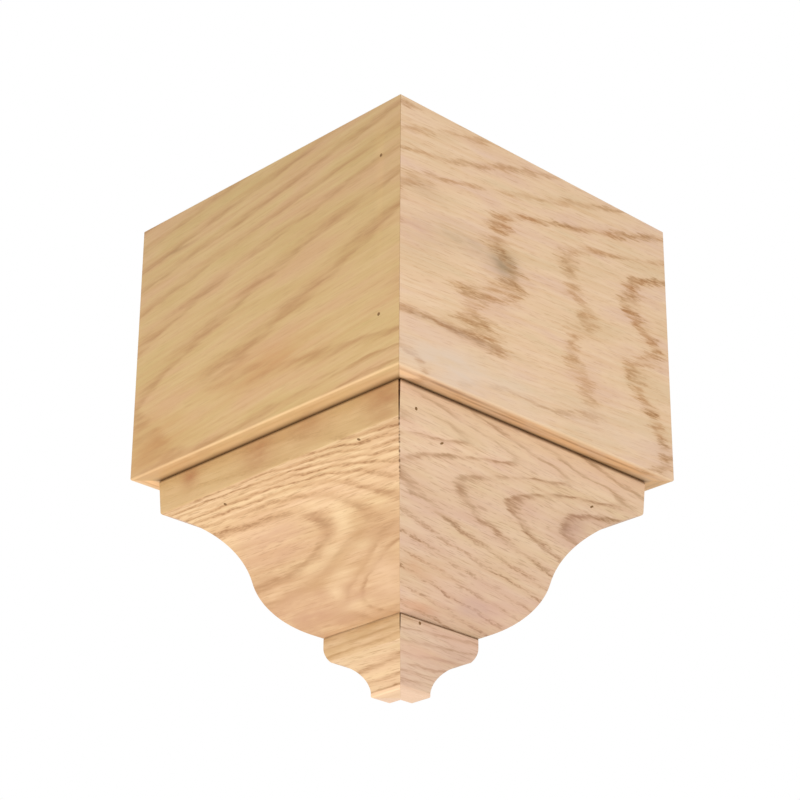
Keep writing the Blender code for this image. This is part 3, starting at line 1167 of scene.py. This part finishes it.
def narrowing(depth, widths):
    """Half a gap that narrows with depth, between pairs of depth and half width in mm."""
    for (upper, wide), (lower, narrow) in zip(widths, widths[1:]):
        if depth < lower * MM:
            share = max(0.0, depth / MM - upper) / (lower - upper)
            return max(CLOSED, (wide + (narrow - wide) * share) * MM)
    return CLOSED


def crown_gap(point):
    """Half the gap of the crown's near mitre. Its back, which slopes in, stays closed."""
    depth = CROWN_TOP - point.y
    back = CROWN_FACE - CROWN_SEAT - (CROWN_FACE - FOOT_FACE) * depth / (CROWN_TOP - CROWN_FOOT)
    return CLOSED if point.x < back + GAPING_DEPTH else narrowing(depth, CROWN_GAPS)


def lower_gap(point):
    """Half the gap of the small moulding's near mitre, open at the nose alone."""
    if point.x < FOOT_FACE - GAPING_DEPTH:
        return CLOSED
    return narrowing(LOWER_TOP - point.y, LOWER_GAPS)


print("widest gap:", 2 * CROWN_GAPS[0][1], "mm")

# %% [markdown]
# ## Cutting the strips
#
# Now the saw can run: three kinds of stock, four sides each. Every strip gets its own finish,
# because no two boards have the same grain, and takes the place of its solid.

# %% Cut all twelve
EASED_HALF = 0.62
STOCK = {"board": (board_outline(), BOARD_EASE, tight),
         "crown": (crown_outline(), CROWN_TOP_EASE, crown_gap),
         "lower": (lower_outline(), LOWER_TOP_EASE, lower_gap)}

pieces = {}
for kind, (outline, top_ease, gap_at) in STOCK.items():
    for side in SIDES:
        number = 10.0 * len(pieces)
        finish = oak_face(f"oak_{kind}_{side}", number, RECIPES[kind].get(side, PLAIN[kind]))
        piece = strip(kind, side, outline, -EASED_HALF * top_ease, gap_at, (finish, END_GRAIN))
        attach(piece, "root")
        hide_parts(f"{kind}_{side}")
        pieces[kind, side] = piece
print("strips:", len(pieces))

# %% [markdown]
# ## Brad holes
#
# The strips are held by glue and thin brads, driven a little below the face. Each leaves a small
# brown hole. A hole is cut as a shallow round pit square to the face, because a dot of colour
# would stay flat when the light moves. The pit's brown floor is bruised wood with painted shade,
# for the depth of a real hole that the shallow pit lacks.

# %% Punch the holes
HOLE_RADIUS = 0.65 * MM
HOLE_DEPTH = 0.12 * MM
OUTSIDE = 0.2
BRAD_HOLES = {
    ("board", "left"): [(63.1, -21.4), (62.7, -85.1)],
    ("crown", "left"): [(41.2, -122.5), (-34.3, -124.1)],
    ("crown", "right"): [(-56.4, -116.6), (-39.3, -123.0), (40.8, -123.4)],
    ("lower", "right"): [(-10.2, -172.3)]}


def hole_material():
    """Bruised brown wood where a brad went in, darkened with painted shade for the hole's depth.
    """
    material, tree, shader = new_material("brad_hole")
    noise = add_node(tree, "TexNoise", {
        "Vector": add_node(tree, "TexCoord").outputs["Object"], "Scale": 3000.0})
    colour = blended(tree, noise.outputs[0], srgb(122, 88, 50), srgb(150, 114, 70))
    tree.links.new(colour, shader.inputs["Base Color"])
    shader.inputs["Roughness"].default_value = 0.8
    return material


HOLE = hole_material()


def punches_for(piece, places):
    """Short round rods square to the face, at places along the run and up, in mm."""
    work = bmesh.new()
    for along, height in places:
        _, spot, facing, _ = piece.ray_cast((OUTSIDE, along * MM, height * MM),
                                            (-1.0, 0.0, 0.0))
        turn = facing.to_track_quat("Z", "Y").to_matrix().to_4x4()
        bmesh.ops.create_cone(work, cap_ends=True, segments=20, radius1=HOLE_RADIUS,
                              radius2=HOLE_RADIUS, depth=2 * HOLE_DEPTH,
                              matrix=Matrix.Translation(spot) @ turn)
    mesh = bpy.data.meshes.new("brad_punch")
    work.to_mesh(mesh)
    work.free()
    mesh.materials.append(HOLE)
    punches = placed("brad_punch", mesh)
    punches.matrix_world = piece.matrix_basis
    return punches


def punch(piece, places):
    """Cut the holes and keep the result as the piece's own mesh."""
    punches = punches_for(piece, places)
    piece.data.materials.append(HOLE)
    cut = piece.modifiers.new("brad_holes", "BOOLEAN")
    cut.operation = "DIFFERENCE"
    cut.solver = "EXACT"
    cut.material_mode = "TRANSFER"
    cut.object = punches
    bpy.context.view_layer.update()
    graph = bpy.context.evaluated_depsgraph_get()
    finished = bpy.data.meshes.new_from_object(piece.evaluated_get(graph))
    finished.set_sharp_from_angle(angle=SHARP)
    piece.modifiers.remove(cut)
    uncut, rods = piece.data, punches.data
    piece.data = finished
    bpy.data.objects.remove(punches, do_unlink=True)
    for mesh in (uncut, rods):
        bpy.data.meshes.remove(mesh)


bpy.context.view_layer.update()
for key, places in BRAD_HOLES.items():
    punch(pieces[key], places)
print("brad holes:", sum(len(places) for places in BRAD_HOLES.values()))

# %% [markdown]
# ## Taking off the sharp edges
#
# A saw leaves an edge like a knife, and one wipe of sandpaper takes it off. A narrow bevel on
# every sharp edge does the same, and makes the fine double line at each mitre.

# %% Ease every sharp edge
WIPE_WIDTH = 0.18 * MM
WIPE_ANGLE = math.radians(35.0)

for piece in pieces.values():
    ease = piece.modifiers.new("sanded_edges", "BEVEL")
    ease.width = WIPE_WIDTH
    ease.segments = 2
    ease.limit_method = "ANGLE"
    ease.angle_limit = WIPE_ANGLE
    ease.use_clamp_overlap = True
print("edges eased by", WIPE_WIDTH, "m on", len(pieces), "strips")
